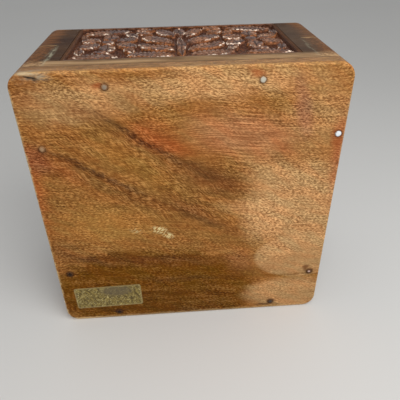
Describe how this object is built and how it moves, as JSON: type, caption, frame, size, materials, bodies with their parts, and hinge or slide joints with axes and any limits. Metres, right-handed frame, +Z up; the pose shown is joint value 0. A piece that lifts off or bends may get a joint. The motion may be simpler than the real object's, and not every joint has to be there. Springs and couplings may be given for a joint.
{
  "type": "wooden puzzle box",
  "caption": "Square carved hardwood puzzle box: inset lid on hidden hinge pins, secret sliding panels and hidden wooden bolts, nailed base to stand on.",
  "frame": {"origin": "middle of the base's underside", "axes": "+Z up through the lid, front wall facing -Y, lid hinged at the +Y side, sliding side panel at +X"},
  "size_m": [0.102, 0.102, 0.054],
  "materials": {
    "base_wood": "worn semi-gloss lacquer",
    "wall_wood": "gloss lacquer",
    "carved_wood": "gloss lacquer over carving",
    "lid_wood": "gloss lacquer over carving",
    "inner_wood": "bare sanded wood",
    "bolt_wood": "waxed wood",
    "dowel_wood": "bare turned wood",
    "nail_steel": "dull worn steel",
    "pin_steel": "drawn wire"
  },
  "bodies": {
    "case": {"base_board": "base_wood", "base_nails": "nail_steel", "front_wall": "wall_wood", "back_wall": "wall_wood", "left_wall": "wall_wood", "right_wall": "wall_wood", "back_panel": "carved_wood", "left_panel": "carved_wood", "left_hinge_pin": "pin_steel", "right_hinge_pin": "pin_steel", "left_ledge": "inner_wood", "right_ledge": "inner_wood", "front_bolt_guide": "inner_wood", "right_bolt_guide": "inner_wood", "front_stop_peg": "dowel_wood", "right_stop_peg": "dowel_wood"},
    "lid": {"lid_board": "lid_wood", "front_catch": "inner_wood", "right_catch": "inner_wood"},
    "front_slider": {"front_panel": "carved_wood"},
    "right_slider": {"right_panel": "carved_wood"},
    "front_lock": {"front_bolt": "bolt_wood", "front_bolt_knob": "dowel_wood"},
    "right_lock": {"right_bolt": "bolt_wood", "right_bolt_knob": "dowel_wood"}
  },
  "joints": [
    {"name": "lid_hinge", "type": "hinge", "parent": "case", "child": "lid", "pos_m": [0, 0.0381, 0.0505], "axis": [-1, 0, 0], "range_deg": [0, 95]},
    {"name": "front_panel_slide", "type": "slide", "parent": "case", "child": "front_slider", "axis": [0, 0, 1], "range_m": [0, 0.03]},
    {"name": "right_panel_slide", "type": "slide", "parent": "case", "child": "right_slider", "axis": [0, 0, 1], "range_m": [0, 0.03]},
    {"name": "front_bolt_slide", "type": "slide", "parent": "case", "child": "front_lock", "axis": [1, 0, 0], "range_m": [0, 0.006]},
    {"name": "right_bolt_slide", "type": "slide", "parent": "case", "child": "right_lock", "axis": [0, -1, 0], "range_m": [0, 0.006]}
  ]
}
